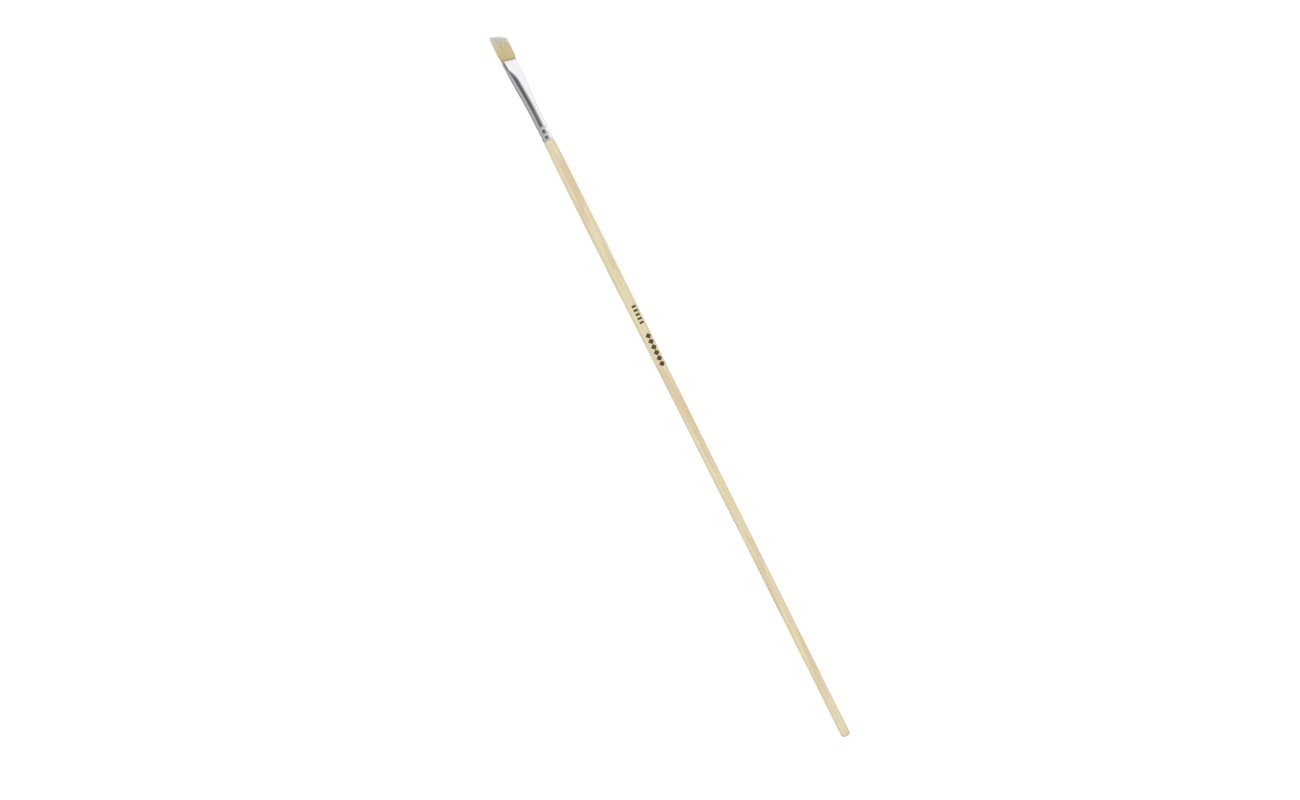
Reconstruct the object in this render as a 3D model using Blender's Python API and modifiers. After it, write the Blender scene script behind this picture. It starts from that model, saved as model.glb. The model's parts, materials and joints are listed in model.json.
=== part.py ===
"""Flat hog-bristle artist's brush with a long plain handle, lying flat on a table.

The brush's axis runs along Y with the tuft towards +Y. The flat of the ferrule is level, facing +Z.
X = 0 is the middle of the width, Y = 0 the middle of the overall length, and Z = 0 the table.
Everything along the brush is measured from the ferrule's mouth: positive towards the hair's tips.
"""

import math

import bmesh
import bpy

MM = 0.001

# Driving dimensions, in metres.
OVERALL_LENGTH = 340.0 * MM
TUFT_LENGTH = 12.4 * MM  # hair that stands out of the ferrule
FERRULE_LENGTH = 38.8 * MM

MOUTH_WIDTH = 8.2 * MM  # outside of the flattened end
MOUTH_THICKNESS = 2.1 * MM
MOUTH_LAND = 3.6 * MM  # straight stretch behind the mouth, with parallel flats
FULL_THICKNESS_FROM = 9.8 * MM  # behind the mouth, where the flattening ends
FERRULE_DIAMETER = 4.9 * MM  # outside of the round end
FERRULE_WALL = 0.25 * MM
ROUND_FROM = 25.0 * MM  # behind the mouth, where the tube has become round
CRIMP_CENTRES = (32.8 * MM, 35.8 * MM)
CRIMP_HALF_WIDTH = 0.85 * MM
CRIMP_DEPTH = 0.22 * MM
MOUTH_CURL = 0.05 * MM  # how far the deburred lip draws in

HANDLE_NECK_DIAMETER = 5.1 * MM
HANDLE_BELLY_DIAMETER = 5.5 * MM
HANDLE_WAIST_DIAMETER = 4.5 * MM
HANDLE_TAIL_DIAMETER = 4.25 * MM
BELLY_FROM = 30.0 * MM  # distances behind the ferrule's rear edge
BELLY_TO = 44.0 * MM
WAIST_AT = 140.0 * MM
TENON_LENGTH = 15.0 * MM
SHOULDER_GAP = 0.15 * MM
HANDLE_FACETS = 10  # few enough for the belly to lie still on a table

GLUE_THICKNESS = 0.15 * MM
GLUE_LENGTH = 11.0 * MM
EPOXY_THICKNESS = 0.25 * MM
EPOXY_FROM, EPOXY_TO = 6.0 * MM, 13.0 * MM  # depths behind the mouth
THREAD_DIAMETER = 0.24 * MM
THREAD_TURNS = 4
THREAD_PITCH = 0.34 * MM
THREAD_FROM = 3.9 * MM
FIT = 0.08 * MM  # clearance between pieces that are glued or pressed together
SECTION_POINTS = 32

# The hair bends sideways about SWAY_PIVOT and through its thin direction about FLEX_PIVOT.
SWAY_PIVOT = -1.5 * MM
SWAY_RADIUS = 4.4 * MM
FLEX_PIVOT = 2.6 * MM
FLEX_RADIUS = 1.1 * MM
JOINT_GAP = 0.12 * MM

TUFT_TIP_SLANT = 1.6 * MM  # the tips are this much shorter on the +X side
TUFT_TIP_CROWN = 0.35 * MM  # the outer rows are this much shorter than the middle
LOCK_COLUMNS = 8
LOCK_ROWS = ("lower", "middle", "upper")
LOCK_GAP = 0.06 * MM

# Derived places along Y, and the height of the axis over the table.
TIP_Y = OVERALL_LENGTH / 2
MOUTH_Y = TIP_Y - TUFT_LENGTH
FERRULE_END_Y = MOUTH_Y - FERRULE_LENGTH
TAIL_Y = -OVERALL_LENGTH / 2
AXIS_Z = HANDLE_BELLY_DIAMETER / 2 * math.cos(math.pi / HANDLE_FACETS)


def smooth(t):
    """0 to 1 with no slope at either end."""
    t = min(max(t, 0.0), 1.0)
    return t * t * (3 - 2 * t)


def blend(a, b, t):
    return a + (b - a) * t


# ------------------------------------------------------------------ scene helpers
def clear_scene():
    for obj in list(bpy.data.objects):
        bpy.data.objects.remove(obj, do_unlink=True)


def make_material(name, colour, roughness, metallic=0.0):
    material = bpy.data.materials.new(name)
    material.use_nodes = True
    shader = material.node_tree.nodes["Principled BSDF"]
    shader.inputs["Base Color"].default_value = (*colour, 1.0)
    shader.inputs["Roughness"].default_value = roughness
    shader.inputs["Metallic"].default_value = metallic
    return material


def add_object(name, data, material, parent):
    obj = bpy.data.objects.new(name, data)
    data.materials.append(material)
    PART.objects.link(obj)
    obj.parent = parent
    return obj


def add_empty(name, location, parent=None):
    empty = bpy.data.objects.new(name, None)
    empty.empty_display_size = 3 * MM
    empty.location = location
    empty.parent = parent
    PART.objects.link(empty)
    return empty


def shade(mesh, degrees=35):
    mesh.shade_smooth()
    mesh.set_sharp_from_angle(angle=math.radians(degrees))


# ------------------------------------------------------------------ ferrule sections
def ferrule_width(depth):
    """Outside width of the ferrule at a depth behind its mouth, without the crimps."""
    t = min(max((depth - MOUTH_LAND / 2) / (ROUND_FROM - MOUTH_LAND / 2), 0), 1)
    return blend(FERRULE_DIAMETER, MOUTH_WIDTH, (1 - t) ** 1.4)


def ferrule_thickness(depth):
    t = min(max((depth - MOUTH_LAND) / (FULL_THICKNESS_FROM - MOUTH_LAND), 0), 1)
    return blend(FERRULE_DIAMETER, MOUTH_THICKNESS, (1 - t) ** 2)


def crimp(depth):
    """How far the two rolled grooves press the tube in."""
    pressed = 0.0
    for centre in CRIMP_CENTRES:
        away = abs(depth - centre) / CRIMP_HALF_WIDTH
        if away < 1:
            pressed += CRIMP_DEPTH * 0.5 * (1 + math.cos(math.pi * away))
    return pressed


def ferrule_section(depth, inset=0.0):
    """Points round the ferrule at this depth, drawn in by inset: two half rounds joined by flats."""
    thickness = ferrule_thickness(depth)
    shift = (ferrule_width(depth) - thickness) / 2
    radius = thickness / 2 - crimp(depth) - inset
    points = []
    for i in range(SECTION_POINTS):
        angle = (i + 0.5) * math.tau / SECTION_POINTS
        x = radius * math.cos(angle) + math.copysign(shift, math.cos(angle))
        points.append((x, -depth, radius * math.sin(angle)))
    return points


def spaced(start, end, step):
    count = max(1, round(abs(end - start) / step))
    return [blend(start, end, i / count) for i in range(count + 1)]


def skin(rings, close_last=False):
    """Open surface through rings of equal size, with its faces pointing out."""
    bm = bmesh.new()
    verts = [[bm.verts.new(p) for p in ring] for ring in rings]
    for near, far in zip(verts, verts[1:]):
        for i in range(len(near)):
            j = (i + 1) % len(near)
            bm.faces.new((near[i], near[j], far[j], far[i]))
    if close_last:
        bm.faces.new(verts[-1])
    mesh = bpy.data.meshes.new("skin")
    bm.to_mesh(mesh)
    bm.free()
    return mesh


def add_wall(obj, thickness):
    wall = obj.modifiers.new("Wall", "SOLIDIFY")
    wall.thickness = thickness
    wall.offset = -1.0
    wall.use_even_offset = True


# ------------------------------------------------------------------ turned pieces
def turned(name, profile, material, parent):
    """Piece turned about the brush's axis. profile is (radius, depth) from the front to the back."""
    mesh = bpy.data.meshes.new(name)
    points = [(radius, 0.0, -depth) for radius, depth in profile]
    edges = [(i, i + 1) for i in range(len(points) - 1)]
    if profile[0][0] > 0:
        edges.append((len(points) - 1, 0))
    mesh.from_pydata(points, edges, [])
    obj = add_object(name, mesh, material, parent)
    # Local Z lies along the brush, and a facet's middle points straight down.
    facet_down = math.pi / 2 + math.pi / HANDLE_FACETS
    obj.rotation_euler = (-math.pi / 2, facet_down, 0.0)
    screw = obj.modifiers.new("Turned", "SCREW")
    screw.angle = math.tau
    screw.steps = screw.render_steps = HANDLE_FACETS
    screw.use_merge_vertices = True
    screw.merge_threshold = 0.00001
    screw.use_smooth_shade = True
    return obj


def tenon_radius(depth):
    gap = FERRULE_WALL + 2 * FIT + GLUE_THICKNESS
    return FERRULE_DIAMETER / 2 - crimp(depth) - gap


def handle_radius(distance):
    """Radius of the bare wood at a distance behind the ferrule: neck, belly, long taper, tail."""
    neck, belly = HANDLE_NECK_DIAMETER / 2, HANDLE_BELLY_DIAMETER / 2
    waist, tail = HANDLE_WAIST_DIAMETER / 2, HANDLE_TAIL_DIAMETER / 2
    if distance < BELLY_FROM:
        return blend(neck, belly, math.sin(math.pi / 2 * distance / BELLY_FROM))
    if distance < BELLY_TO:
        return belly
    if distance < WAIST_AT:
        return blend(belly, waist, smooth((distance - BELLY_TO) / (WAIST_AT - BELLY_TO)))
    exposed = OVERALL_LENGTH - TUFT_LENGTH - FERRULE_LENGTH
    return blend(waist, tail, (distance - WAIST_AT) / (exposed - WAIST_AT))


def build_handle(material, parent):
    front = FERRULE_LENGTH - TENON_LENGTH
    chamfer = 0.5 * MM
    profile = [(0.0, front), (tenon_radius(front) - chamfer, front)]
    for depth in spaced(front + chamfer, FERRULE_LENGTH - 0.1 * MM, 0.45 * MM):
        profile.append((tenon_radius(depth), depth))
    shoulder = FERRULE_LENGTH + SHOULDER_GAP
    neck = HANDLE_NECK_DIAMETER / 2
    profile.append((tenon_radius(shoulder), shoulder))
    profile.append((neck - 0.2 * MM, shoulder))
    profile.append((neck, shoulder + 0.25 * MM))

    tail_radius = HANDLE_TAIL_DIAMETER / 2
    back = OVERALL_LENGTH - TUFT_LENGTH
    dome = 1.5 * MM  # length of the rounded tail
    for distance in spaced(10 * MM, BELLY_FROM, 10 * MM) + spaced(BELLY_TO, WAIST_AT, 32 * MM):
        profile.append((handle_radius(distance), FERRULE_LENGTH + distance))
    steps, last_angle = 5, math.radians(84)  # the dome ends in a small flat
    for i in range(steps + 1):
        angle = last_angle * i / steps
        rise = dome * math.sin(angle) / math.sin(last_angle)
        profile.append((tail_radius * math.cos(angle) ** 0.7, back - dome + rise))
    profile.append((0.0, back))
    return turned("handle", profile, material, parent)


def build_tenon_glue(material, parent):
    front = FERRULE_LENGTH - GLUE_LENGTH
    depths = spaced(front, FERRULE_LENGTH - 0.2 * MM, 0.45 * MM)
    outer = [(tenon_radius(d) + FIT + GLUE_THICKNESS, d) for d in depths]
    inner = [(tenon_radius(d) + FIT, d) for d in reversed(depths)]
    return turned("tenon_glue", outer + inner, material, parent)


# ------------------------------------------------------------------ ferrule and what it holds
def build_ferrule(material, parent):
    depths = [0.0, 0.15 * MM, 0.4 * MM]
    depths += spaced(MOUTH_LAND / 2, MOUTH_LAND, MOUTH_LAND / 2)
    depths += spaced(MOUTH_LAND, FULL_THICKNESS_FROM, 0.8 * MM)[1:]
    depths += spaced(FULL_THICKNESS_FROM, ROUND_FROM, 2.2 * MM)[1:]
    first_crimp = CRIMP_CENTRES[0] - CRIMP_HALF_WIDTH
    depths.append(blend(ROUND_FROM, first_crimp, 0.5))
    for centre in CRIMP_CENTRES:
        depths += spaced(centre - CRIMP_HALF_WIDTH, centre + CRIMP_HALF_WIDTH, 0.22 * MM)
    depths.append(FERRULE_LENGTH)
    rings = [ferrule_section(d, MOUTH_CURL * (1 - smooth(d / (0.4 * MM)))) for d in depths]
    mesh = skin(rings)
    shade(mesh)
    obj = add_object("ferrule", mesh, material, parent)
    add_wall(obj, FERRULE_WALL)
    return obj


def build_root_epoxy(material, parent):
    """Cup of cured epoxy round the butts of the hair, stuck to the ferrule."""
    depths = spaced(EPOXY_FROM, EPOXY_TO, 1.75 * MM)
    rings = [ferrule_section(d, FERRULE_WALL + FIT) for d in depths]
    mesh = skin(rings, close_last=True)
    obj = add_object("root_epoxy", mesh, material, parent)
    add_wall(obj, EPOXY_THICKNESS)
    return obj


def build_binding_thread(material, parent):
    """Turns of thread that tie the hair together before it goes into the ferrule."""
    points_a_turn = 16
    curve = bpy.data.curves.new("root_binding_thread", "CURVE")
    curve.dimensions = "3D"
    curve.bevel_depth = THREAD_DIAMETER / 2
    curve.bevel_resolution = 1
    curve.use_fill_caps = True
    spline = curve.splines.new("POLY")
    count = THREAD_TURNS * points_a_turn
    spline.points.add(count - 1)
    inset = FERRULE_WALL + 2 * FIT + THREAD_DIAMETER / 2
    for i in range(count):
        depth = THREAD_FROM + THREAD_PITCH * i / points_a_turn
        thickness = ferrule_thickness(depth)
        shift = (ferrule_width(depth) - thickness) / 2
        radius = thickness / 2 - inset
        angle = (i + 0.5) * math.tau / points_a_turn
        x = radius * math.cos(angle) + math.copysign(shift, math.cos(angle))
        spline.points[i].co = (x, -depth, radius * math.sin(angle), 1.0)
    return add_object("root_binding_thread", curve, material, parent)


# ------------------------------------------------------------------ hair
def hair_half_width(along):
    """Half the tuft's width, along being the height over the mouth."""
    start = MOUTH_WIDTH / 2 - FERRULE_WALL - 2 * FIT
    t = along / TUFT_LENGTH
    return start + 0.25 * MM * smooth(t / 0.2) + 0.6 * MM * max(t, 0)


def hair_half_thickness(along):
    start = MOUTH_THICKNESS / 2 - FERRULE_WALL - FIT
    t = along / TUFT_LENGTH
    belly, tip = 0.25 * MM, -0.12 * MM
    return start + belly * smooth(t / 0.45) + (tip - belly) * smooth((t - 0.45) / 0.55)


def rounded_end(u):
    """Share of the thickness left at u, from -1 to 1 across the width, where the ends round off."""
    return math.sqrt(1 - 0.8 * abs(u) ** 7)


def tuft_tip(u, v):
    """Height of the hair's tips over the mouth."""
    slant = TUFT_TIP_SLANT * ((u + 1) / 2) ** 1.6
    return TUFT_LENGTH - slant - TUFT_TIP_CROWN * v * v


def sway_face(x, radius):
    """Round face about the sideways pivot."""
    return SWAY_PIVOT + math.sqrt(radius**2 - x**2)


def flex_face(z, radius):
    """Round face about the pivot in the thin direction."""
    return FLEX_PIVOT + math.sqrt(radius**2 - z**2)


def shaped_block(name, cuts, place, material, parent):
    """Subdivided cube whose points, with u, v and w each from -1 to 1, go where place(u, v, w) says."""
    bm = bmesh.new()
    bmesh.ops.create_cube(bm, size=2.0)
    for axis, cut in enumerate(cuts):
        for k in range(1, cut):
            plane = [0.0, 0.0, 0.0]
            plane[axis] = 2.0 * k / cut - 1.0
            normal = [0.0, 0.0, 0.0]
            normal[axis] = 1.0
            everything = bm.verts[:] + bm.edges[:] + bm.faces[:]
            bmesh.ops.bisect_plane(bm, geom=everything, plane_co=plane, plane_no=normal, dist=1e-6)
    for vert in bm.verts:
        vert.co = place(*vert.co)
    # The places swap two axes, which turns the cube inside out.
    bmesh.ops.reverse_faces(bm, faces=bm.faces[:])
    mesh = bpy.data.meshes.new(name)
    bm.to_mesh(mesh)
    bm.free()
    shade(mesh)
    return add_object(name, mesh, material, parent)


def build_roots(material, parent):
    """Butts of the hair, packed in the ferrule, with the domed face that the tuft sways over."""
    butt = EPOXY_TO - EPOXY_THICKNESS - FIT
    tied = FERRULE_WALL + 4 * FIT + THREAD_DIAMETER

    def place(u, v, w):
        front_x = u * (MOUTH_WIDTH / 2 - FERRULE_WALL - FIT)
        front = sway_face(front_x, SWAY_RADIUS - JOINT_GAP)
        along = blend(-butt, front, (w + 1) / 2)
        depth = max(-along, 0)
        inset = blend(FERRULE_WALL + FIT, tied, smooth(depth / (2.8 * MM)))
        half_width = ferrule_width(depth) / 2 - inset
        half_thickness = ferrule_thickness(depth) / 2 - inset
        ends = math.sqrt(1 - 0.96 * abs(u) ** (2 * half_width / half_thickness))
        return (u * half_width, along, v * half_thickness * ends)

    return shaped_block("bristle_roots", (12, 2, 12), place, material, parent)


def build_heel(material, parent):
    """Hair between the two bends: it sways on the roots, and the locks flex on it."""

    def place(u, v, w):
        share = (w + 1) / 2
        along = blend(1.5 * MM, 3.0 * MM, share)
        x = u * hair_half_width(along)
        z = v * hair_half_thickness(along) * rounded_end(u)
        along = blend(sway_face(x, SWAY_RADIUS), flex_face(z, FLEX_RADIUS), share)
        return (x, along, z)

    return shaped_block("bristle_heel", (12, 6, 3), place, material, parent)


def build_lock(name, column, row, material, parent):
    """One lock: a cell of the tuft's section, carried from the heel to the tips."""
    u_low, u_high = (2 * k / LOCK_COLUMNS - 1 for k in (column, column + 1))
    v_low, v_high = (2 * k / len(LOCK_ROWS) - 1 for k in (row, row + 1))

    def place(a, b, w):
        share = (w + 1) / 2
        corner = 0.8 if abs(a) == 1 and abs(b) == 1 else 1.0
        u = blend(u_low, u_high, (a * corner + 1) / 2)
        v = blend(v_low, v_high, (b * corner + 1) / 2)
        guess = blend(FLEX_PIVOT + FLEX_RADIUS, tuft_tip(u, v), share)
        half_width, half_thickness = hair_half_width(guess), hair_half_thickness(guess)
        x = u * half_width - a * LOCK_GAP / 2
        z = v * half_thickness * rounded_end(u) - b * LOCK_GAP / 2
        root = flex_face(z, FLEX_RADIUS + JOINT_GAP)
        return (x, blend(root, tuft_tip(u, v), share), z)

    return shaped_block(name, (2, 2, 7), place, material, parent)


def build_locks(material, parent):
    for row, row_name in enumerate(LOCK_ROWS):
        for column in range(LOCK_COLUMNS):
            build_lock(f"bristle_lock_{row_name}_{column + 1}", column, row, material, parent)


# ------------------------------------------------------------------ assembly
def build():
    wood = make_material("wood", (0.73, 0.62, 0.40), 0.45)
    metal = make_material("ferrule_metal", (0.80, 0.80, 0.81), 0.22, 1.0)
    glue = make_material("glue", (0.62, 0.44, 0.20), 0.30)
    epoxy = make_material("epoxy", (0.50, 0.34, 0.13), 0.25)
    thread = make_material("thread", (0.80, 0.78, 0.70), 0.80)
    hair = make_material("bristle", (0.63, 0.52, 0.29), 0.50)

    brush = add_empty("brush_axis", (0.0, MOUTH_Y, AXIS_Z))
    build_handle(wood, brush)
    build_ferrule(metal, brush)
    build_tenon_glue(glue, brush)
    build_root_epoxy(epoxy, brush)
    build_binding_thread(thread, brush)
    build_roots(hair, brush)

    sway = add_empty("sway_axis", (0.0, SWAY_PIVOT, 0.0), brush)
    flex = add_empty("flex_axis", (0.0, FLEX_PIVOT - SWAY_PIVOT, 0.0), sway)
    heel = build_heel(hair, sway)
    heel.location.y = -SWAY_PIVOT
    before = set(PART.objects)
    build_locks(hair, flex)
    for lock in set(PART.objects) - before:
        lock.location.y = -FLEX_PIVOT


clear_scene()
PART = bpy.data.collections.new("paint_brush")
bpy.context.scene.collection.children.link(PART)
build()
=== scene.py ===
"""Looks of a flat hog-bristle artist's brush: polished ferrule, single hairs and a plain wooden handle.

The brush lies along Y with its tuft towards +Y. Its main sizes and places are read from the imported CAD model.
"""

import json
import math

import bpy
import numpy as np
from mathutils import Matrix, Vector


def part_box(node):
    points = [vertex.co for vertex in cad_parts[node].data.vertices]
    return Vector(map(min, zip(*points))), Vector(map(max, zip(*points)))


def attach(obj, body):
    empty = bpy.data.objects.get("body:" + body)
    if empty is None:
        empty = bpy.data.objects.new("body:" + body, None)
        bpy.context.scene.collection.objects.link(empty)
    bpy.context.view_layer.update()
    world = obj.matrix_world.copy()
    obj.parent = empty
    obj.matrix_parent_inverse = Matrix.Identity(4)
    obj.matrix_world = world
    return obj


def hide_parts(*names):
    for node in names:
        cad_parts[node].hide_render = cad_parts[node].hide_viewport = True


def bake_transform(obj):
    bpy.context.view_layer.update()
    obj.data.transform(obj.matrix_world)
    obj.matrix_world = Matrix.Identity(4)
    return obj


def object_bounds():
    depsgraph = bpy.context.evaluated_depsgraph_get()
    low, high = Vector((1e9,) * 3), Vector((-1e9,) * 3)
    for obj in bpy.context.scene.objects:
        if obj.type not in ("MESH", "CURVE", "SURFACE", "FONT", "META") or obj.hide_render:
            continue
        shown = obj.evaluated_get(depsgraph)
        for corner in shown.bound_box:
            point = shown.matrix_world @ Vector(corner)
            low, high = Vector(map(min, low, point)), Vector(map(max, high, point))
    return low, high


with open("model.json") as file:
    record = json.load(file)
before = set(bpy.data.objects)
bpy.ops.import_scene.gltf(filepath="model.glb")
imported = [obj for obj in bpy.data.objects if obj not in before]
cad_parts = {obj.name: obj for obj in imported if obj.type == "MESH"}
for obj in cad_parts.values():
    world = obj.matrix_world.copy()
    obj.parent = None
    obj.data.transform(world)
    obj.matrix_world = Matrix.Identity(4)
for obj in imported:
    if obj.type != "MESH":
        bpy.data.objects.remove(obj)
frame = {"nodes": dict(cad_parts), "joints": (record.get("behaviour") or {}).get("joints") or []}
cad_low, cad_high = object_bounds()

MM = 0.001
UP = Vector((0, 0, 1))
ACROSS = Vector((1, 0, 0))
BASE, HEEL, TUFT = "handle_and_ferrule", "tuft_heel", "tuft"
ROWS = ("lower", "middle", "upper")
COLUMNS = sum(1 for node in frame["nodes"] if node.startswith("bristle_lock_middle_"))

ferrule_low, ferrule_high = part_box("ferrule")
handle_low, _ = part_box("handle")
AXIS_Z = (ferrule_low.z + ferrule_high.z) / 2
MOUTH_Y, FERRULE_END_Y = ferrule_high.y, ferrule_low.y
TAIL_Y, TIP_Y = handle_low.y, cad_high.y
TUFT_LENGTH = TIP_Y - MOUTH_Y

rng = np.random.default_rng(11)


# ------------------------------------------------------------------ measuring the CAD
def reach(node, y, direction, inside=False):
    """Distance from the brush's axis to a CAD node's surface, seen from outside or from the axis."""
    axis = Vector((0, y, AXIS_Z))
    far = 20 * MM
    start, heading = (axis, direction) if inside else (axis + direction * far, -direction)
    hit, place, _, _ = frame["nodes"][node].ray_cast(start, heading)
    return (place - axis).length if hit else 0.0


def smoothed(values, sigma):
    """values blurred along their length, with their ends held."""
    half = int(3 * sigma) + 1
    kernel = np.exp(-0.5 * (np.arange(-half, half + 1) / sigma) ** 2)
    padded = np.concatenate([np.full(half, values[0]), values, np.full(half, values[-1])])
    return np.convolve(padded, kernel / kernel.sum(), "valid")


def smooth_step(t):
    t = np.clip(t, 0.0, 1.0)
    return t * t * (3 - 2 * t)


# ------------------------------------------------------------------ mesh building
def finish_mesh(name, verts, faces, sharp_degrees=40, attributes=None):
    mesh = bpy.data.meshes.new(name)
    mesh.from_pydata([tuple(v) for v in verts], [], faces)
    mesh.validate()
    for key, values in (attributes or {}).items():
        layer = mesh.attributes.new(key, "FLOAT", "POINT")
        layer.data.foreach_set("value", np.asarray(values, np.float32))
    mesh.shade_smooth()
    mesh.set_sharp_from_angle(angle=math.radians(sharp_degrees))
    obj = bpy.data.objects.new(name, mesh)
    bpy.context.scene.collection.objects.link(obj)
    return obj


def ring_faces(first, count, sides, close_loop=False):
    """Quads between count rings of sides points each, from vertex first, with the rings going up Y."""
    faces = []
    pairs = [(k, k + 1) for k in range(count - 1)]
    if close_loop:
        pairs.append((count - 1, 0))
    for near, far in pairs:
        a, b = first + near * sides, first + far * sides
        for i in range(sides):
            j = (i + 1) % sides
            faces.append((a + i, b + i, b + j, a + j))
    return faces


def end_caps(first, count, sides):
    """Faces that close both ends of the rings that ring_faces joins."""
    last = first + (count - 1) * sides
    return [tuple(range(first, first + sides)), tuple(range(last + sides - 1, last - 1, -1))]


def tubes(name, paths, sides, sharp_degrees=60):
    """One mesh of closed tubes along Y.

    A path is a dict of x, y, z and radius arrays. Any more arrays in it become attributes of the mesh.
    """
    angles = np.arange(sides) * math.tau / sides
    circle_x, circle_z = np.cos(angles), np.sin(angles)
    verts, faces, extra, first = [], [], {}, 0
    for path in paths:
        count = len(path["y"])
        x = path["x"][:, None] + path["radius"][:, None] * circle_x
        z = path["z"][:, None] + path["radius"][:, None] * circle_z
        y = np.repeat(path["y"], sides)
        verts.append(np.stack([x.ravel(), y, z.ravel()], axis=1))
        faces += ring_faces(first, count, sides) + end_caps(first, count, sides)
        for key in path:
            if key not in ("x", "y", "z", "radius"):
                extra.setdefault(key, []).append(np.repeat(path[key], sides))
        first += count * sides
    attributes = {key: np.concatenate(values) for key, values in extra.items()}
    return finish_mesh(name, np.concatenate(verts), faces, sharp_degrees, attributes)


# ------------------------------------------------------------------ material nodes
class Material:
    """A Principled material with short calls for the nodes that shape it."""

    def __init__(self, name, **sockets):
        self.material = bpy.data.materials.new(name)
        self.material.use_nodes = True
        self.nodes = self.material.node_tree.nodes
        self.links = self.material.node_tree.links
        self.shader = self.nodes["Principled BSDF"]
        for key, value in sockets.items():
            self.shader.inputs[key.replace("_", " ")].default_value = value

    def add(self, kind, **settings):
        node = self.nodes.new("ShaderNode" + kind)
        for key, value in settings.items():
            setattr(node, key, value)
        return node

    def place(self, scale=(1, 1, 1), shift=(0, 0, 0)):
        """Object coordinates in millimetres, stretched by scale."""
        coordinates = self.add("TexCoord")
        mapping = self.add("Mapping")
        mapping.inputs["Scale"].default_value = [s / MM for s in scale]
        mapping.inputs["Location"].default_value = shift
        self.links.new(coordinates.outputs["Object"], mapping.inputs["Vector"])
        return mapping.outputs["Vector"]

    def noise(self, scale, detail=3.0, roughness=0.5, distortion=0.0, shift=(0, 0, 0)):
        node = self.add("TexNoise")
        node.inputs["Scale"].default_value = 1.0
        node.inputs["Detail"].default_value = detail
        node.inputs["Roughness"].default_value = roughness
        node.inputs["Distortion"].default_value = distortion
        self.links.new(self.place(scale, shift), node.inputs["Vector"])
        return node.outputs["Fac"]

    def attribute(self, name):
        return self.add("Attribute", attribute_name=name).outputs["Fac"]

    def ramp(self, value, stops, interpolation="LINEAR"):
        node = self.add("ValToRGB")
        node.color_ramp.interpolation = interpolation
        elements = node.color_ramp.elements
        while len(elements) < len(stops):
            elements.new(0.5)
        for element, (position, colour) in zip(elements, stops):
            element.position = position
            element.color = colour if len(colour) == 4 else (*colour, 1)
        self.links.new(value, node.inputs["Fac"])
        return node.outputs["Color"]

    def grey(self, value, low, high, start=0.0, end=1.0):
        """value from start to end, spread over low to high."""
        node = self.add("MapRange")
        for key, number in (("From Min", start), ("From Max", end), ("To Min", low), ("To Max", high)):
            node.inputs[key].default_value = number
        self.links.new(value, node.inputs["Value"])
        return node.outputs["Result"]

    def maths(self, operation, a, b):
        node = self.add("Math", operation=operation)
        for socket, value in zip(node.inputs, (a, b)):
            if isinstance(value, (int, float)):
                socket.default_value = value
            else:
                self.links.new(value, socket)
        return node.outputs["Value"]

    def mix(self, factor, a, b, blend="MIX"):
        node = self.add("Mix", data_type="RGBA", blend_type=blend)
        for socket, value in ((node.inputs[0], factor), (node.inputs[6], a), (node.inputs[7], b)):
            if isinstance(value, (int, float)):
                socket.default_value = value
            elif isinstance(value, tuple):
                socket.default_value = (*value, 1)
            else:
                self.links.new(value, socket)
        return node.outputs[2]

    def bump(self, height, strength, distance):
        node = self.add("Bump")
        node.inputs["Strength"].default_value = strength
        node.inputs["Distance"].default_value = distance
        self.links.new(height, node.inputs["Height"])
        self.links.new(node.outputs["Normal"], self.shader.inputs["Normal"])

    def feed(self, socket, value):
        self.links.new(value, self.shader.inputs[socket])


def srgb(red, green, blue):
    """A display colour from 0 to 255 as the linear numbers that shaders take."""
    return tuple(c / 12.92 if c <= 0.04045 else ((c + 0.055) / 1.055) ** 2.4
                 for c in (red / 255, green / 255, blue / 255))


def wear(obj, made):
    """Gives obj, and every slot of a CAD node, this one material."""
    obj.data.materials.clear()
    obj.data.materials.append(made.material)


def wood_material():
    """Pale close-grained wood, turned and sealed: soft rings, long fibres, small pores."""
    wood = Material("pale_turned_wood", Coat_Weight=0.2, Coat_Roughness=0.35, Specular_IOR_Level=0.4)
    rings = wood.add("TexWave", wave_type="RINGS", rings_direction="Y", wave_profile="SAW")
    for key, value in (("Scale", 0.22), ("Distortion", 2.2), ("Detail", 2.0), ("Detail Scale", 0.6)):
        rings.inputs[key].default_value = value
    wood.links.new(wood.place((1, 0.025, 1), (6.5, 0, 4.0)), rings.inputs["Vector"])
    fibres = wood.noise((5.0, 0.09, 5.0), detail=5, roughness=0.62, distortion=0.2)
    broad = wood.noise((0.35, 0.035, 0.35), detail=2.5, shift=(3, 1, 7))
    pores = wood.noise((13.0, 0.7, 13.0), detail=1, shift=(1, 5, 2))

    pale, straw, rosy = srgb(240, 231, 199), srgb(236, 225, 175), srgb(232, 211, 177)
    body = wood.ramp(broad, [(0.36, straw), (0.5, pale), (0.64, rosy)])
    body = wood.mix(wood.grey(rings.outputs["Fac"], 0.0, 0.34, 0.55, 1.0), body, srgb(210, 188, 146))
    body = wood.mix(wood.grey(fibres, 0.0, 0.55, 0.42, 0.72), body, srgb(216, 198, 158))
    body = wood.mix(wood.grey(pores, 0.0, 0.6, 0.66, 0.76), body, srgb(150, 118, 78))
    # the wood is darker and pinker towards the tail end
    wood.feed("Base Color", wood.mix(wood.attribute("tail"), body, srgb(214, 186, 164)))
    wood.feed("Roughness", wood.grey(fibres, 0.38, 0.56, 0.3, 0.7))
    height = wood.maths("SUBTRACT", fibres, wood.grey(pores, 0.0, 0.5, 0.62, 0.76))
    wood.bump(height, 0.35, 0.03 * MM)
    return wood


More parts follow.
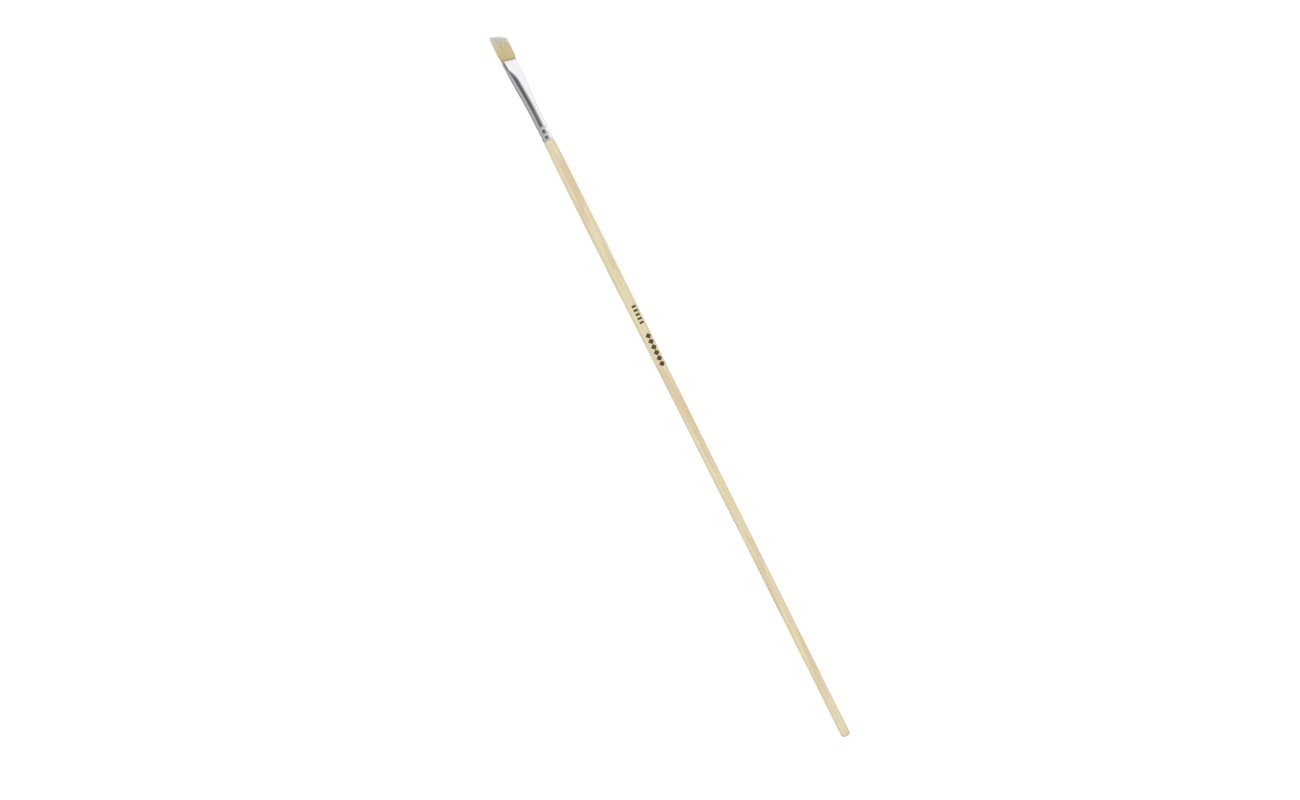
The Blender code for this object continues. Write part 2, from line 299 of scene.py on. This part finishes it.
def ferrule_material():
    """Polished metal tube with draw marks along it, rubbed smudges, and crimps left dull by their roller and
    painted whiter, a painted highlight.
    """
    metal = Material("polished_ferrule", Metallic=1.0, Anisotropic=0.2)
    drawn = metal.noise((22.0, 0.35, 22.0), detail=4, roughness=0.6)
    smudge = metal.noise((0.45, 0.16, 0.45), detail=4, roughness=0.6, shift=(9, 2, 4))
    scratches = metal.noise((30.0, 3.0, 30.0), detail=2, distortion=0.6, shift=(4, 4, 1))
    groove_and_highlight = metal.attribute("groove_and_highlight")
    bright = metal.mix(metal.grey(smudge, 0.0, 0.5, 0.45, 0.8), srgb(238, 239, 242), srgb(228, 228, 230))
    bright = metal.mix(metal.grey(drawn, 0.0, 0.25, 0.5, 0.8), bright, srgb(210, 210, 213))
    # painted highlight: where the mask is 1 the colour is painted half way to white
    metal.feed("Base Color", metal.mix(metal.maths("MULTIPLY", groove_and_highlight, 0.5), bright, srgb(246, 246, 246)))
    polish = metal.grey(smudge, 0.10, 0.20, 0.35, 0.7)
    metal.feed("Roughness", metal.maths("ADD", polish, metal.maths("MULTIPLY", groove_and_highlight, 0.55)))
    height = metal.maths("ADD", drawn, metal.maths("MULTIPLY", scratches, 0.4))
    metal.bump(height, 0.12, 0.01 * MM)
    return metal


def bristle_material():
    """Natural hog bristle: darker with painted shade at the ferrule, straw along its length, paler at the
    flagged tip.
    """
    hair = Material("hog_bristle", Specular_IOR_Level=0.45)
    rise, tone = hair.attribute("rise"), hair.attribute("tone")
    # the ramp's darker start is painted shade where the hairs enter the ferrule
    along = hair.ramp(rise, [
        (0.0, srgb(192, 174, 134)), (0.12, srgb(228, 210, 160)), (0.42, srgb(246, 230, 180)),
        (0.68, srgb(253, 243, 213)), (0.95, srgb(255, 253, 247))])
    along = hair.mix(hair.grey(tone, 0.0, 0.5, 0.5, 1.0), along, srgb(250, 244, 222))
    faded = hair.grey(rise, 1.0, 0.2, 0.35, 1.0)  # the dark tones bleach out towards the tip
    dull = hair.maths("MULTIPLY", hair.grey(tone, 0.45, 0.0, 0.0, 0.4), faded)
    along = hair.mix(dull, along, srgb(206, 172, 118))
    streak = hair.noise((9.0, 0.9, 9.0), detail=2)
    streaked = hair.maths("MULTIPLY", hair.grey(streak, 0.0, 0.24, 0.4, 0.75), faded)
    hair.feed("Base Color", hair.mix(streaked, along, srgb(196, 168, 120)))
    hair.feed("Roughness", hair.grey(streak, 0.32, 0.5, 0.3, 0.7))
    hair.bump(streak, 0.2, 0.01 * MM)
    return hair


def resin_material(name, light, dark):
    resin = Material(name, Coat_Weight=0.3)
    cloud = resin.noise((1.6, 1.6, 1.6), detail=4, distortion=0.8)
    resin.feed("Base Color", resin.ramp(cloud, [(0.35, dark), (0.65, light)]))
    resin.feed("Roughness", resin.grey(cloud, 0.15, 0.4, 0.3, 0.7))
    resin.bump(cloud, 0.3, 0.05 * MM)
    return resin


def thread_material():
    thread = Material("waxed_thread", Sheen_Weight=0.3)
    twist = thread.noise((9.0, 14.0, 9.0), detail=3)
    thread.feed("Base Color", thread.ramp(twist, [(0.35, srgb(190, 184, 160)), (0.65, srgb(233, 229, 212))]))
    thread.feed("Roughness", thread.grey(twist, 0.6, 0.85, 0.3, 0.7))
    thread.bump(twist, 0.6, 0.05 * MM)
    return thread


def ink_material():
    """Thin dark stamping ink that lets a little of the wood's grain through."""
    ink = Material("stamping_ink", Specular_IOR_Level=0.3)
    patchy = ink.noise((7.0, 1.6, 7.0), detail=4, roughness=0.7)
    ink.feed("Base Color", ink.ramp(patchy, [
        (0.4, srgb(70, 60, 42)), (0.62, srgb(98, 86, 60)), (0.78, srgb(150, 134, 98))]))
    ink.feed("Roughness", ink.grey(patchy, 0.45, 0.7, 0.3, 0.7))
    ink.bump(patchy, 0.2, 0.01 * MM)
    return ink


# ------------------------------------------------------------------ handle
def handle_rings():
    """(y, radius) of each turned ring of the CAD handle, from the tail to the tenon."""
    found = {}
    for vert in frame["nodes"]["handle"].data.vertices:
        key = round(vert.co.y, 6)
        found[key] = max(found.get(key, 0.0), math.hypot(vert.co.x, vert.co.z - AXIS_Z))
    keys = sorted(found)
    return np.array(keys), np.array([found[k] for k in keys])


RING_Y, RING_RADIUS = handle_rings()
NECK_Y = FERRULE_END_Y - 0.4 * MM  # the wood's full width starts here, behind its rounded edge
NECK_EDGE = 0.22 * MM
DOME = 1.5 * MM  # length of the rounded tail
HANDLE_STEP = 0.5 * MM
HANDLE_BLUR = 9 * MM  # wide enough to hide where the CAD's straight cones meet
HANDLE_SIDES = 72


def bare_handle_radius(y):
    """Radius of the visible wood, as one smooth curve through the CAD's rings."""
    grid = np.arange(TAIL_Y + DOME, NECK_Y, HANDLE_STEP)
    keep = (RING_Y >= TAIL_Y + DOME - 1e-6) & (RING_Y <= NECK_Y + 1e-6)
    rough = np.interp(grid, RING_Y[keep], RING_RADIUS[keep])
    return np.interp(y, grid, smoothed(rough, HANDLE_BLUR / HANDLE_STEP))


def build_handle(material):
    """One turned stick: domed tail, slightly uneven shaft, rounded edge at the ferrule, the CAD's tenon."""
    tail = TAIL_Y + DOME
    tail_radius = float(bare_handle_radius(tail))
    dome_angles = np.radians(np.linspace(86, 0, 14))
    dome_y = tail - DOME * np.sin(dome_angles) / math.sin(dome_angles[0])
    dome_radius = tail_radius * np.cos(dome_angles) ** 0.7

    shaft_y = np.arange(tail + HANDLE_STEP, NECK_Y, HANDLE_STEP * 2)
    turning = 0.006 * MM * np.sin(shaft_y / (1.7 * MM)) + 0.008 * MM * np.sin(shaft_y / (5.3 * MM) + 1)
    shaft_radius = bare_handle_radius(shaft_y) + turning

    neck_radius = float(bare_handle_radius(NECK_Y))
    round_over = np.radians(np.linspace(0, 90, 6))
    edge_y = NECK_Y + NECK_EDGE * np.sin(round_over)
    edge_radius = neck_radius - NECK_EDGE + NECK_EDGE * np.cos(round_over)

    tenon = RING_Y > edge_y[-1] + 0.02 * MM
    y = np.concatenate([dome_y, shaft_y, edge_y, RING_Y[tenon]])
    radius = np.concatenate([dome_radius, shaft_radius, edge_radius, RING_RADIUS[tenon]])
    # the wood is made darker and pinker over the last 4 mm of the tail
    tail_darkening = 0.55 * smooth_step((TAIL_Y + 4 * MM - y) / (3.5 * MM))
    path = {"x": np.zeros_like(y), "y": y, "z": np.full_like(y, AXIS_Z), "radius": radius, "tail": tail_darkening}
    obj = tubes("turned_handle", [path], HANDLE_SIDES, 35)
    wear(obj, material)
    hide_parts("handle")
    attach(obj, BASE)


MARK_ANGLE = math.radians(-21)  # the marks face up and a little towards -X
INK_LIFT, INK_FILM = 0.012 * MM, 0.03 * MM


def mark_patch(centre_y, centre_angle, length, height, half_width_at):
    """Vertices and faces of one flat shape wrapped on the handle.

    half_width_at(t) is its outline, as a share of half its length, for t from -1 to 1 round the handle.
    """
    rows, columns = 14, 6
    verts, faces = [], []
    for r in range(rows + 1):
        t = 2 * r / rows - 1
        for c in range(columns + 1):
            s = (2 * c / columns - 1) * half_width_at(t)
            y = centre_y + s * length / 2
            radius = float(bare_handle_radius(y)) + INK_LIFT
            angle = centre_angle + t * height / 2 / radius
            verts.append((radius * math.sin(angle), y, AXIS_Z + radius * math.cos(angle)))
    for r in range(rows):
        for c in range(columns):
            a = r * (columns + 1) + c
            faces.append((a, a + 1, a + columns + 2, a + columns + 1))
    return verts, faces


def tick(t):
    return 1.0


def lozenge(t):
    return 1.0 - 0.92 * abs(t)


def build_mark(name, start, end, count, height, fill, outline, material):
    """A row of plain shapes stamped along the handle, start and end being distances from the hair's tips."""
    pitch = (end - start) / count
    verts, faces = [], []
    for k in range(count):
        centre = TIP_Y - start - pitch * (k + 0.5)
        shape_verts, shape_faces = mark_patch(centre, MARK_ANGLE, pitch * fill, height, outline)
        faces += [tuple(len(verts) + i for i in face) for face in shape_faces]
        verts += shape_verts
    obj = finish_mesh(name, verts, faces)
    thick = obj.modifiers.new("Ink film", "SOLIDIFY")
    thick.thickness = INK_FILM
    thick.offset = -1
    wear(obj, material)
    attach(obj, BASE)


# ------------------------------------------------------------------ ferrule
FERRULE_STEP = 0.1 * MM
FERRULE_SIDES = 96
FACET = math.cos(math.pi / 32)  # the CAD ferrule has 32 sides, and rays meet its facets' middles
CRIMPS_END_Y = FERRULE_END_Y + 7 * MM  # in front of both crimps
FINE_END_Y = CRIMPS_END_Y + 1 * MM  # the rings are close together behind this
REAR_EDGE = 0.9 * MM  # how much of the tube's rolled rear edge is made rougher and painted whiter, a painted highlight


def measure_ferrule():
    """y, radius of the rounded sides, and how far these sides are shifted from the axis."""
    y = np.arange(FERRULE_END_Y + 0.05 * MM, MOUTH_Y, FERRULE_STEP)
    up = np.array([reach("ferrule", v, UP) for v in y])
    side = np.array([reach("ferrule", v, ACROSS) for v in y])
    radius, shift = up / FACET, np.maximum(side - up, 0)
    gentle = 0.45 * MM / FERRULE_STEP
    fine = 0.1 * MM / FERRULE_STEP
    radius = np.where(y < CRIMPS_END_Y, smoothed(radius, fine), smoothed(radius, gentle))
    return y, radius, smoothed(shift, gentle)


FERRULE_Y, FERRULE_RADIUS, FERRULE_SHIFT = measure_ferrule()
FLAT_Y = MOUTH_Y - 3 * MM
WALL = reach("ferrule", FLAT_Y, UP) - reach("ferrule", FLAT_Y, UP, inside=True)


def ferrule_ring(y, inset, sides):
    """One section of the tube, moved in by inset: two round sides joined by flats."""
    radius = np.interp(y, FERRULE_Y, FERRULE_RADIUS) - inset
    shift = np.interp(y, FERRULE_Y, FERRULE_SHIFT)
    angles = (np.arange(sides) + 0.5) * math.tau / sides
    c, s = np.cos(angles), np.sin(angles)
    # points spread along the flats too, so that a flat is not one long strip
    spread = np.sign(c) * np.minimum(1.0, np.abs(c) * 4.0) ** 0.8
    x = radius * c + shift * spread
    z = radius * s
    return np.stack([x, np.full(sides, y), AXIS_Z + z], axis=1)


def build_ferrule(material):
    """The tube's outside, its inside, and a rounded lip between them at either end."""
    lip = np.radians(np.linspace(0, 180, 9))
    half_wall = WALL / 2
    lip_length = 0.8 * half_wall
    stations = list(np.arange(FERRULE_END_Y + lip_length, FINE_END_Y, FERRULE_STEP))
    stations += list(np.linspace(FINE_END_Y, MOUTH_Y - lip_length, 90))
    plan = [(y, 0.0) for y in stations]
    plan += [(stations[-1] + lip_length * math.sin(a), half_wall * (1 - math.cos(a))) for a in lip[1:-1]]
    plan += [(y, WALL) for y in reversed(stations)]
    plan += [(stations[0] - lip_length * math.sin(a), half_wall * (1 + math.cos(a))) for a in lip[1:-1]]
    rings = [ferrule_ring(y, inset, FERRULE_SIDES) for y, inset in plan]
    faces = ring_faces(0, len(rings), FERRULE_SIDES, close_loop=True)

    # the mask is 1 where the tube dips below its surroundings, and at its rear edge; there the metal is rougher
    # and painted whiter, a painted highlight
    place = np.array([y for y, _ in plan])
    radius = np.interp(place, FERRULE_Y, FERRULE_RADIUS)
    groove_and_highlight = np.clip((smoothed(radius, 12) - radius) / (0.06 * MM), 0, 1)
    groove_and_highlight[place > FINE_END_Y] = 0
    groove_and_highlight[place < FERRULE_END_Y + REAR_EDGE] = 1
    attributes = {"groove_and_highlight": np.repeat(groove_and_highlight, FERRULE_SIDES)}
    obj = finish_mesh("ferrule_tube", np.concatenate(rings), faces, 50, attributes)
    wear(obj, material)
    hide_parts("ferrule")
    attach(obj, BASE)


# ------------------------------------------------------------------ hair
FLEX_Y = next(joint["pos_m"][1] for joint in frame["joints"] if joint["name"] == "tuft_flex")
# Each hair is cut at SPLIT_Y: its lower length ends there, and its upper length has close rings from there to
# BEND_END_Y.
SPLIT_Y, BEND_END_Y = FLEX_Y - 1.2 * MM, FLEX_Y + 1.2 * MM
HAIR_ROOT_Y = MOUTH_Y - 4.5 * MM
MOUTH_HALF_WIDTH = reach("ferrule", MOUTH_Y - 1 * MM, ACROSS, inside=True) - 0.05 * MM
MOUTH_HALF_THICKNESS = reach("ferrule", MOUTH_Y - 1 * MM, UP, inside=True) - 0.04 * MM
lock_boxes = {(row, column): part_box(f"bristle_lock_{row}_{column + 1}")
              for row in ROWS for column in range(COLUMNS)}
TIP_HALF_WIDTH = max(-low.x for low, _ in lock_boxes.values()) + 0.2 * MM
BELLY_HALF_THICKNESS = max(high.z for _, high in lock_boxes.values()) - AXIS_Z
TIP_HALF_THICKNESS = 0.66 * BELLY_HALF_THICKNESS
CORNER = 0.72  # where the tuft's outline starts to round off, as a share of its half width
COLUMN_PLACES = (np.arange(COLUMNS) + 0.5) * 2 / COLUMNS - 1
COLUMN_TIPS = np.array([lock_boxes[("middle", c)][1].y for c in range(COLUMNS)])
HAIR_PITCH = 0.15 * MM
HAIR_RADIUS = 0.078 * MM
FLAG_RADIUS = 0.03 * MM
HAIR_SIDES = 7
LOOSE_SIDE = 0.38 * MM  # how far the hairs at the +X edge stand off from the rest
STRAY_SHARE = 0.08
SHORT_SHARE = 0.25
CLUMPS = [tuple(rng.uniform(-1, 1, 2)) for _ in range(52)]  # hairs near one of these lean to it at their tips


def half_width(y):
    """The tuft's half width: it opens out at once in front of the mouth, then slowly to its tips."""
    t = (y - MOUTH_Y) / TUFT_LENGTH
    flare = 0.45 * smooth_step(t / 0.15) + 0.55 * np.clip(t, 0, 1)
    return MOUTH_HALF_WIDTH + (TIP_HALF_WIDTH - MOUTH_HALF_WIDTH) * flare


def half_thickness(y):
    """The tuft's half thickness: fullest at its belly, and thinner at its tips."""
    t = (y - MOUTH_Y) / TUFT_LENGTH
    belly = smooth_step(t / 0.45)
    end = smooth_step((t - 0.45) / 0.55)
    return (MOUTH_HALF_THICKNESS + (BELLY_HALF_THICKNESS - MOUTH_HALF_THICKNESS) * belly
            + (TIP_HALF_THICKNESS - BELLY_HALF_THICKNESS) * end)


def round_side(u):
    """Share of the full thickness at u, which falls off at the tuft's narrow edges."""
    return np.sqrt(np.maximum(1 - 0.8 * np.abs(u) ** 7, 0.0))


def hair_seats():
    """Where each hair leaves the mouth: u and v from -1 to 1 across the width and the thickness."""
    row_pitch = HAIR_PITCH * math.sqrt(3) / 2
    rows = int(2 * MOUTH_HALF_THICKNESS / row_pitch) + 1
    columns = int(2 * MOUTH_HALF_WIDTH / HAIR_PITCH) + 1
    seats = []
    for r in range(rows):
        for c in range(columns + 1):
            jitter = rng.uniform(-0.28, 0.28, 2) * HAIR_PITCH
            x = (c - columns / 2 + 0.5 * (r % 2) - 0.25) * HAIR_PITCH + jitter[0]
            z = (r - (rows - 1) / 2) * row_pitch + jitter[1]
            u = x / MOUTH_HALF_WIDTH
            if abs(u) > 0.99:
                continue
            v = z / (MOUTH_HALF_THICKNESS * float(round_side(u)))
            if abs(v) <= 1:
                seats.append((u, v))
    return seats


def tip_height(u, v):
    """Where a hair seated at u, v would end, if all hairs were cut alike."""
    crown = 0.3 * MM * v * v
    right, left = (max(0.0, side * u - CORNER) / (1 - CORNER) for side in (1, -1))
    corners = (1.1 * right ** 2 + 0.35 * left ** 2) * MM
    return float(np.interp(u, COLUMN_PLACES, COLUMN_TIPS)) - crown - corners


def hair_habit(u, v, stray):
    """How one hair leans, bends and waves on its way to the tip."""
    spread = 0.34 * MM if stray else 0.07 * MM
    outward = LOOSE_SIDE * smooth_step((u - 0.45) / 0.55) * abs(rng.normal(0, 1))
    return {
        "clump": min(CLUMPS, key=lambda c: ((c[0] - u) * 4) ** 2 + (c[1] - v) ** 2),
        "lean": 0.0 if stray else rng.uniform(0.05, 0.5),
        "bend": rng.normal(0, spread, 2) + (outward, 0),
        "wave": rng.normal(0, 0.03 * MM, 2),
        "turns": rng.uniform(3, 7),
        "phase": rng.uniform(0, math.tau),
    }


def hair_course(u, v, y, rise, habit):
    """x and z along one hair. rise runs from 0 at the mouth to 1 at the tip."""
    lean = smooth_step((rise - 0.25) / 0.75) * habit["lean"]
    cu, cv = habit["clump"]
    uu, vv = u + (cu - u) * lean, v + (cv - v) * lean
    x = uu * half_width(y)
    z = vv * half_thickness(y) * round_side(np.clip(uu, -1, 1))
    grow = np.clip(rise, 0, 1.2) ** 1.4
    swing = rise * habit["turns"] + habit["phase"]
    x = x + grow * (habit["bend"][0] + habit["wave"][0] * np.sin(swing))
    z = z + grow * (habit["bend"][1] + habit["wave"][1] * np.cos(swing))
    return x, AXIS_Z + z


def inside_tuft(path):
    """Keeps a hair within a fraction of a millimetre of the CAD tuft."""
    side, top = TIP_HALF_WIDTH + 0.35 * MM, BELLY_HALF_THICKNESS + 0.15 * MM
    path["x"] = np.clip(path["x"], -side, side + LOOSE_SIDE)
    path["z"] = AXIS_Z + np.clip(path["z"] - AXIS_Z, -top, top)
    return path


def make_hair(u, v):
    """Lower and upper length of one bristle, and the fine flags that its tip splits into."""
    stray = rng.random() < STRAY_SHARE
    ragged = (0.5 + 0.5 * smooth_step((u + 0.2) / 1.2)) * MM  # the +X side is worn more unevenly
    tip = tip_height(u, v) + 0.2 * MM - abs(rng.normal(0, ragged))
    if rng.random() < SHORT_SHARE:
        tip -= rng.uniform(0.3, 2.8) * MM
    tip = min(tip, TIP_Y)
    habit = hair_habit(u, v, stray)
    tone = float(np.clip(rng.normal(0.5, 0.2), 0, 1))
    thickness = HAIR_RADIUS * float(np.clip(rng.normal(1, 0.13), 0.7, 1.3))

    def stretch(y):
        rise = (y - MOUTH_Y) / (tip - MOUTH_Y)
        x, z = hair_course(u, v, y, rise, habit)
        radius = thickness * (1 - 0.76 * np.clip(rise, 0, 1) ** 1.7)
        return {"x": x, "y": y, "z": z, "radius": radius, "rise": rise, "tone": np.full_like(y, tone)}

    lower = stretch(np.concatenate([[HAIR_ROOT_Y], np.linspace(MOUTH_Y - 0.5 * MM, SPLIT_Y, 8)]))
    flag_from = tip - rng.uniform(1.4, 3.0) * MM
    bend_y, rest_y = np.linspace(SPLIT_Y, BEND_END_Y, 8), np.linspace(BEND_END_Y, tip, 8)
    upper = stretch(np.concatenate([bend_y, rest_y[1:]]))
    flags = []
    for _ in range(rng.integers(1, 4)):
        end = min(tip + rng.uniform(-0.5, 0.7) * MM, TIP_Y)
        strand = stretch(np.linspace(flag_from, end, 5))
        out = np.linspace(0, 1, 5) ** 1.3
        strand["x"] = strand["x"] + out * rng.normal(0.03 * MM, 0.16 * MM)
        strand["z"] = strand["z"] + out * rng.normal(0, 0.08 * MM)
        strand["radius"] = FLAG_RADIUS * (1 - 0.6 * out)
        flags.append(inside_tuft(strand))
    return lower, inside_tuft(upper), flags


def build_hair(material):
    """All the bristles' lower lengths in one piece, and their upper lengths in a piece for each CAD lock."""
    lowers = []
    locks = {key: [] for key in lock_boxes}
    for u, v in hair_seats():
        lower, upper, flags = make_hair(u, v)
        column = min(int((u + 1) / 2 * COLUMNS), COLUMNS - 1)
        row = ROWS[min(int((v + 1) / 2 * len(ROWS)), len(ROWS) - 1)]
        lowers.append(lower)
        locks[(row, column)] += [upper, *flags]

    bases = tubes("bristle_bases", lowers, HAIR_SIDES)
    wear(bases, material)
    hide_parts("bristle_heel")
    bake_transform(bases)
    for (row, column), paths in locks.items():
        piece = tubes(f"bristles_{row}_{column + 1}", paths, HAIR_SIDES)
        wear(piece, material)
        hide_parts(f"bristle_lock_{row}_{column + 1}")
        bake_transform(piece)


def bundle_inset(y):
    """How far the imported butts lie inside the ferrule's surface: just clear of any epoxy."""
    bore = reach("root_epoxy", y, UP, inside=True)
    if not bore:
        return WALL + 0.46 * MM
    return np.interp(y, FERRULE_Y, FERRULE_RADIUS) - bore + 0.06 * MM


def build_root_bundle(material):
    """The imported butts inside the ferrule, which the single hairs grow out of."""
    low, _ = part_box("bristle_roots")
    y = np.linspace(low.y, HAIR_ROOT_Y + 1.5 * MM, 14)
    sides = 64
    rings = [ferrule_ring(float(value), bundle_inset(float(value)), sides) for value in y]
    faces = ring_faces(0, len(rings), sides) + end_caps(0, len(rings), sides)
    rise = np.repeat((y - MOUTH_Y) / TUFT_LENGTH, sides)
    tone = rng.uniform(0.3, 0.7, len(rings) * sides)
    obj = finish_mesh("bristle_root_bundle", np.concatenate(rings), faces, 50, {"rise": rise, "tone": tone})
    wear(obj, material)
    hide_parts("bristle_roots")
    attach(obj, BASE)


# ------------------------------------------------------------------ surroundings
FLOOR_ALBEDO = 0.6
FLOOR_GLOW = 0.95


def build_floor():
    """White paper. Its extra glow is only for the camera, so that metal mirrors an ordinary table."""
    side = 3.0
    mesh = bpy.data.meshes.new("floor")
    corners = [(-side, -side, 0), (side, -side, 0), (side, side, 0), (-side, side, 0)]
    mesh.from_pydata(corners, [], [(0, 1, 2, 3)])
    floor = bpy.data.objects.new("floor", mesh)
    floor.location.z = AXIS_Z - RING_RADIUS.max() - 0.01 * MM  # just under the round belly
    bpy.context.scene.collection.objects.link(floor)
    paper = Material("white_paper", Roughness=0.9, Specular_IOR_Level=0.1)
    paper.shader.inputs["Base Color"].default_value = (FLOOR_ALBEDO, FLOOR_ALBEDO, FLOOR_ALBEDO, 1)
    paper.shader.inputs["Emission Color"].default_value = (1, 1, 1, 1)
    seen = paper.add("LightPath").outputs["Is Camera Ray"]
    paper.feed("Emission Strength", paper.maths("MULTIPLY", seen, FLOOR_GLOW))
    wear(floor, paper)


def heading(turn, lift):
    """Unit vector turn degrees from vertical towards +X, and lift degrees towards +Y."""
    turn, lift = math.radians(turn), math.radians(lift)
    return Vector((math.sin(turn) * math.cos(lift), math.sin(lift), math.cos(turn) * math.cos(lift)))


def soft_light(name, turn, lift, distance, size, radiance):
    """A square light that shows on dull surfaces and isn't mirrored in the metal."""
    data = bpy.data.lights.new(name, "AREA")
    data.size = size
    data.energy = radiance * math.pi * size ** 2
    light = bpy.data.objects.new(name, data)
    light.location = Vector((0, 0, AXIS_Z)) + heading(turn, lift) * distance
    light.rotation_euler = heading(turn, lift).to_track_quat("Z", "Y").to_euler()
    light.visible_glossy = False
    light.visible_camera = False
    bpy.context.scene.collection.objects.link(light)


DARKEST = heading(-50, 0)
# How bright the room is at the cosine of the angle from its darkest direction
ROOM = ((-1.0, 1.08), (-0.2, 1.08), (0.28, 1.0), (0.62, 0.56), (0.85, 0.22), (0.985, 0.08))


def build_room():
    """A white studio tent that is dark overhead on the left. The camera itself sees it white all over.

    Lengthwise the dark patch is narrower.
    """
    world = bpy.data.worlds.new("studio_tent")
    world.use_nodes = True
    nodes, links = world.node_tree.nodes, world.node_tree.links
    coordinates = nodes.new("ShaderNodeTexCoord")
    narrow = nodes.new("ShaderNodeMapping")
    narrow.vector_type = "VECTOR"
    narrow.inputs["Scale"].default_value = (1, 1.6, 1)
    unit = nodes.new("ShaderNodeVectorMath")
    unit.operation = "NORMALIZE"
    dot = nodes.new("ShaderNodeVectorMath")
    dot.operation = "DOT_PRODUCT"
    dot.inputs[1].default_value = DARKEST
    spread = nodes.new("ShaderNodeMapRange")
    spread.inputs["From Min"].default_value = -1
    ramp = nodes.new("ShaderNodeValToRGB")
    elements = ramp.color_ramp.elements
    while len(elements) < len(ROOM):
        elements.new(0.5)
    brightest = max(level for _, level in ROOM)
    for element, (cosine, level) in zip(elements, ROOM):
        element.position = (cosine + 1) / 2
        element.color = (level / brightest, level / brightest, level / brightest, 1)
    seen = nodes.new("ShaderNodeLightPath")
    plain = nodes.new("ShaderNodeMix")
    plain.data_type = "RGBA"
    plain.inputs[7].default_value = (1, 1, 1, 1)
    background = nodes["Background"]
    background.inputs["Strength"].default_value = brightest
    links.new(coordinates.outputs["Generated"], narrow.inputs["Vector"])
    links.new(narrow.outputs["Vector"], unit.inputs[0])
    links.new(unit.outputs["Vector"], dot.inputs[0])
    links.new(dot.outputs["Value"], spread.inputs["Value"])
    links.new(spread.outputs["Result"], ramp.inputs["Fac"])
    links.new(seen.outputs["Is Camera Ray"], plain.inputs[0])
    links.new(ramp.outputs["Color"], plain.inputs[6])
    links.new(plain.outputs[2], background.inputs["Color"])
    bpy.context.scene.world = world


def build_lights():
    soft_light("soft_overhead", -38, 0, 1.6, 1.6, 0.35)
    soft_light("soft_left", -80, 0, 1.6, 1.4, 2.7)


VIEW_ROLL = math.radians(38)  # how far the camera stands round from the flat's normal, towards -X
VIEW_TILT = math.radians(63.42)  # how steeply the brush rises in the picture
VIEW_DISTANCE = 0.51
VIEW_WIDTH = 0.5645  # what the picture's width takes in, at the brush
VIEW_CENTRE = (-9.36 * MM, -6.08 * MM)  # the picture's centre, left of and below the brush's middle


def build_camera():
    """A camera above the left of the brush, square to its length and turned so that the tuft points up."""
    back = Vector((-math.sin(VIEW_ROLL), 0, math.cos(VIEW_ROLL)))
    along = Vector((0, 1, 0))
    across = along.cross(back)
    right = across * math.sin(VIEW_TILT) - along * math.cos(VIEW_TILT)
    up = across * math.cos(VIEW_TILT) + along * math.sin(VIEW_TILT)
    target = Vector((0, 0, AXIS_Z)) + right * VIEW_CENTRE[0] + up * VIEW_CENTRE[1]
    data = bpy.data.cameras.new("view")
    data.lens = data.sensor_width * VIEW_DISTANCE / VIEW_WIDTH
    data.clip_start, data.clip_end = 0.01, 20
    camera = bpy.data.objects.new("view", data)
    camera.location = target + back * VIEW_DISTANCE
    camera.rotation_euler = Matrix((right, up, back)).transposed().to_euler()
    bpy.context.scene.collection.objects.link(camera)
    bpy.context.scene.camera = camera


# ------------------------------------------------------------------ the whole scene
def build():
    wood = wood_material()
    bristle = bristle_material()
    ink = ink_material()
    build_handle(wood)
    build_ferrule(ferrule_material())
    build_root_bundle(bristle)
    build_hair(bristle)
    build_mark("stamped_ticks", 131 * MM, 140.6 * MM, 5, 2.0 * MM, 0.5, tick, ink)
    build_mark("stamped_lozenges", 144.8 * MM, 160.8 * MM, 6, 2.7 * MM, 0.97, lozenge, ink)
    glue = resin_material("wood_glue", srgb(205, 172, 112), srgb(176, 132, 70))
    epoxy = resin_material("amber_epoxy", srgb(190, 150, 84), srgb(140, 98, 44))
    hidden = {"tenon_glue": glue, "root_epoxy": epoxy, "root_binding_thread": thread_material()}
    for name, made in hidden.items():
        wear(frame["nodes"][name], made)
    build_floor()
    build_room()
    build_lights()
    build_camera()
    bpy.context.scene.view_settings.view_transform = "Standard"


build()
